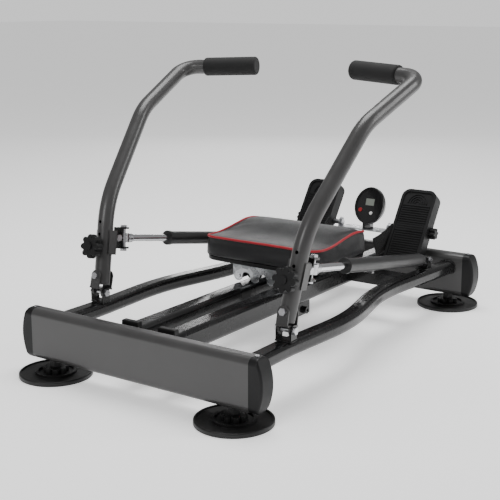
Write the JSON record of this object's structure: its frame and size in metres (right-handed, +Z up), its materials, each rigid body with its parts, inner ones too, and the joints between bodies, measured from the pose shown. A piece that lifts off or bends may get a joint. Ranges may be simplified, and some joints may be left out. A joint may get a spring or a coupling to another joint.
{
  "type": "hydraulic rowing machine",
  "caption": "Hydraulic rowing machine with swinging arms on resistance cylinders, a padded rolling seat on a track, tilting footplates with straps and a display pod.",
  "frame": {"origin": "on the floor, midway between the crossbars and on the plane of symmetry", "axes": "+X to the seated rower's right, +Y from the rear crossbar to the footplates, +Z up"},
  "size_m": [0.724, 1.1968, 0.6944],
  "materials": {
    "charcoal_paint": "semi-gloss charcoal powder coat",
    "black_paint": "glossy black paint",
    "cylinder_paint": "satin black paint",
    "black_plastic": "satin black moulded plastic",
    "display_plastic": "glossy black plastic",
    "white_plastic": "white button plastic",
    "red_plastic": "red button plastic",
    "screen": "grey liquid crystal window",
    "rubber": "matte black rubber",
    "foam": "black foam grip",
    "roller_nylon": "dark nylon",
    "seat_vinyl": "dark grey grained vinyl",
    "red_piping": "red vinyl piping",
    "zinc": "galvanised sheet",
    "rod_chrome": "polished hard chrome",
    "bolt_steel": "zinc plated",
    "webbing": "black woven webbing"
  },
  "bodies": {
    "frame": {"rear_crossbar": "charcoal_paint", "front_crossbar": "charcoal_paint", "end_caps": "black_plastic", "side_rail_left": "black_paint", "side_rail_right": "black_paint", "track_tubes": "black_paint", "cross_members": "black_paint", "rail_brackets": "black_paint", "frame_bolts": "bolt_steel", "seat_stops": "rubber", "plate_axles": "bolt_steel", "display_stand": "zinc", "display_back": "display_plastic", "display_front": "display_plastic", "display_screen": "screen"},
    "reset_button": {"reset_button": "white_plastic"},
    "mode_button": {"mode_button": "red_plastic"},
    "foot_rear_left": {"foot_rear_left": "rubber"},
    "foot_rear_right": {"foot_rear_right": "rubber"},
    "foot_front_left": {"foot_front_left": "rubber"},
    "foot_front_right": {"foot_front_right": "rubber"},
    "seat": {"seat_cushion": "seat_vinyl", "seat_piping": "red_piping", "seat_pan": "black_plastic", "seat_carriage": "zinc", "roller_axles": "bolt_steel"},
    "rear_rollers": {"rear_rollers": "roller_nylon"},
    "front_rollers": {"front_rollers": "roller_nylon"},
    "yoke_right": {"yoke_right": "charcoal_paint", "spread_bolt_right": "bolt_steel"},
    "arm_right": {"arm_tube_right": "charcoal_paint", "grip_right": "foam", "saddle_right": "charcoal_paint"},
    "saddle_knob_right": {"saddle_knob_right": "black_plastic"},
    "link_right": {"link_right": "charcoal_paint", "link_bolts_right": "bolt_steel"},
    "swivel_right": {"swivel_right": "cylinder_paint", "swivel_pin_right": "bolt_steel"},
    "cylinder_right": {"cylinder_right": "cylinder_paint"},
    "piston_rod_right": {"piston_rod_right": "rod_chrome"},
    "rod_eye_right": {"rod_eye_right": "bolt_steel"},
    "footplate_right": {"footplate_right": "black_plastic", "footplate_strap_right": "webbing"},
    "footplate_knob_right": {"footplate_knob_right": "black_plastic"},
    "yoke_left": {"yoke_left": "charcoal_paint", "spread_bolt_left": "bolt_steel"},
    "arm_left": {"arm_tube_left": "charcoal_paint", "grip_left": "foam", "saddle_left": "charcoal_paint"},
    "saddle_knob_left": {"saddle_knob_left": "black_plastic"},
    "link_left": {"link_left": "charcoal_paint", "link_bolts_left": "bolt_steel"},
    "swivel_left": {"swivel_left": "cylinder_paint", "swivel_pin_left": "bolt_steel"},
    "cylinder_left": {"cylinder_left": "cylinder_paint"},
    "piston_rod_left": {"piston_rod_left": "rod_chrome"},
    "rod_eye_left": {"rod_eye_left": "bolt_steel"},
    "footplate_left": {"footplate_left": "black_plastic", "footplate_strap_left": "webbing"},
    "footplate_knob_left": {"footplate_knob_left": "black_plastic"}
  },
  "joints": [
    {"name": "arm_swing_right", "type": "hinge", "parent": "frame", "child": "yoke_right", "pos_m": [0.265, -0.345, 0.154], "axis": [0.9987, 0.0506, 0], "range_deg": [-6, 36]},
    {"name": "arm_spread_right", "type": "hinge", "parent": "yoke_right", "child": "arm_right", "pos_m": [0.26456, -0.3364, 0.19101], "axis": [-0.0493, 0.9727, -0.2267], "range_deg": [-3, 8]},
    {"name": "link_turn_right", "type": "hinge", "parent": "arm_right", "child": "link_right", "pos_m": [0.27154, -0.2819, 0.27339], "axis": [0.9944, 0.0267, -0.1018], "range_deg": [-37, 7]},
    {"name": "saddle_knob_turn_right", "type": "hinge", "parent": "arm_right", "child": "saddle_knob_right", "pos_m": [0.27098, -0.3205, 0.25785], "axis": [-0.0493, 0.9727, -0.2267], "range_deg": [-180, 180]},
    {"name": "swivel_turn_right", "type": "hinge", "parent": "frame", "child": "swivel_right", "pos_m": [0.238, 0.388, 0.154], "axis": [0, 0, 1], "range_deg": [-1, 2]},
    {"name": "cylinder_pitch_right", "type": "hinge", "parent": "swivel_right", "child": "cylinder_right", "pos_m": [0.238, 0.388, 0.154], "axis": [0.9987, 0.0503, 0], "range_deg": [-0.5, 0.5]},
    {"name": "rod_slide_right", "type": "slide", "parent": "cylinder_right", "child": "piston_rod_right", "axis": [0.0495, -0.9832, 0.1754], "range_m": [-0.016, 0.085]},
    {"name": "rod_eye_turn_right", "type": "hinge", "parent": "piston_rod_right", "child": "rod_eye_right", "pos_m": [0.27013, -0.2504, 0.26791], "axis": [0.0495, -0.9832, 0.1754], "range_deg": [-10, 5]},
    {"name": "footplate_tilt_right", "type": "hinge", "parent": "frame", "child": "footplate_right", "pos_m": [0.1545, 0.485, 0.203], "axis": [1, 0, 0], "range_deg": [-20, 20]},
    {"name": "footplate_knob_turn_right", "type": "hinge", "parent": "frame", "child": "footplate_knob_right", "pos_m": [0.1545, 0.485, 0.203], "axis": [1, 0, 0], "range_deg": [-180, 180]},
    {"name": "arm_swing_left", "type": "hinge", "parent": "frame", "child": "yoke_left", "pos_m": [-0.265, -0.345, 0.154], "axis": [0.9987, -0.0506, 0], "range_deg": [-6, 36]},
    {"name": "arm_spread_left", "type": "hinge", "parent": "yoke_left", "child": "arm_left", "pos_m": [-0.26456, -0.3364, 0.19101], "axis": [-0.0493, -0.9727, 0.2267], "range_deg": [-3, 8]},
    {"name": "link_turn_left", "type": "hinge", "parent": "arm_left", "child": "link_left", "pos_m": [-0.27154, -0.2819, 0.27339], "axis": [0.9944, -0.0267, 0.1018], "range_deg": [-37, 7]},
    {"name": "saddle_knob_turn_left", "type": "hinge", "parent": "arm_left", "child": "saddle_knob_left", "pos_m": [-0.27098, -0.3205, 0.25785], "axis": [-0.0493, -0.9727, 0.2267], "range_deg": [-180, 180]},
    {"name": "swivel_turn_left", "type": "hinge", "parent": "frame", "child": "swivel_left", "pos_m": [-0.238, 0.388, 0.154], "axis": [0, 0, -1], "range_deg": [-1, 2]},
    {"name": "cylinder_pitch_left", "type": "hinge", "parent": "swivel_left", "child": "cylinder_left", "pos_m": [-0.238, 0.388, 0.154], "axis": [0.9987, -0.0503, 0], "range_deg": [-0.5, 0.5]},
    {"name": "rod_slide_left", "type": "slide", "parent": "cylinder_left", "child": "piston_rod_left", "axis": [-0.0495, -0.9832, 0.1754], "range_m": [-0.016, 0.085]},
    {"name": "rod_eye_turn_left", "type": "hinge", "parent": "piston_rod_left", "child": "rod_eye_left", "pos_m": [-0.27013, -0.2504, 0.26791], "axis": [0.0495, 0.9832, -0.1754], "range_deg": [-10, 5]},
    {"name": "footplate_tilt_left", "type": "hinge", "parent": "frame", "child": "footplate_left", "pos_m": [-0.1545, 0.485, 0.203], "axis": [1, 0, 0], "range_deg": [-20, 20]},
    {"name": "footplate_knob_turn_left", "type": "hinge", "parent": "frame", "child": "footplate_knob_left", "pos_m": [-0.1545, 0.485, 0.203], "axis": [1, 0, 0], "range_deg": [-180, 180]},
    {"name": "seat_slide", "type": "slide", "parent": "frame", "child": "seat", "axis": [0, 1, 0], "range_m": [-0.425, 0.13]},
    {"name": "rear_roller_spin", "type": "hinge", "parent": "seat", "child": "rear_rollers", "pos_m": [0, 0, 0.1618], "axis": [1, 0, 0], "range_deg": [-1300, 1300]},
    {"name": "front_roller_spin", "type": "hinge", "parent": "seat", "child": "front_rollers", "pos_m": [0, 0.125, 0.1618], "axis": [1, 0, 0], "range_deg": [-1300, 1300]},
    {"name": "foot_rear_right_turn", "type": "hinge", "parent": "frame", "child": "foot_rear_right", "pos_m": [0.2501, -0.5147, 0.0343], "axis": [0, 0, 1], "range_deg": [-180, 180]},
    {"name": "foot_rear_left_turn", "type": "hinge", "parent": "frame", "child": "foot_rear_left", "pos_m": [-0.2501, -0.5147, 0.0343], "axis": [0, 0, 1], "range_deg": [-180, 180]},
    {"name": "foot_front_right_turn", "type": "hinge", "parent": "frame", "child": "foot_front_right", "pos_m": [0.2501, 0.5147, 0.0343], "axis": [0, 0, 1], "range_deg": [-180, 180]},
    {"name": "foot_front_left_turn", "type": "hinge", "parent": "frame", "child": "foot_front_left", "pos_m": [-0.2501, 0.5147, 0.0343], "axis": [0, 0, 1], "range_deg": [-180, 180]},
    {"name": "reset_press", "type": "slide", "parent": "frame", "child": "reset_button", "axis": [0, 0.9397, -0.342], "range_m": [0, 0.0018], "stiffness_N_per_m": 400},
    {"name": "mode_press", "type": "slide", "parent": "frame", "child": "mode_button", "axis": [0, 0.9397, -0.342], "range_m": [0, 0.0018], "stiffness_N_per_m": 400}
  ],
  "couplings": [
    {"joint": "link_turn_right", "follows": "arm_swing_right", "ratio": -1},
    {"joint": "swivel_turn_right", "follows": "arm_spread_right", "ratio": 0.13},
    {"joint": "cylinder_pitch_right", "follows": "arm_swing_right", "ratio": -0.0073},
    {"joint": "rod_slide_right", "follows": "arm_swing_right", "m_per_rad": 0.1314},
    {"joint": "rod_eye_turn_right", "follows": "arm_spread_right", "ratio": -0.8985},
    {"joint": "link_turn_left", "follows": "arm_swing_left", "ratio": -1},
    {"joint": "swivel_turn_left", "follows": "arm_spread_left", "ratio": 0.13},
    {"joint": "cylinder_pitch_left", "follows": "arm_swing_left", "ratio": -0.0073},
    {"joint": "rod_slide_left", "follows": "arm_swing_left", "m_per_rad": 0.1314},
    {"joint": "rod_eye_turn_left", "follows": "arm_spread_left", "ratio": -0.8985},
    {"joint": "rear_roller_spin", "follows": "seat_slide", "rad_per_m": -50},
    {"joint": "front_roller_spin", "follows": "seat_slide", "rad_per_m": -50}
  ]
}
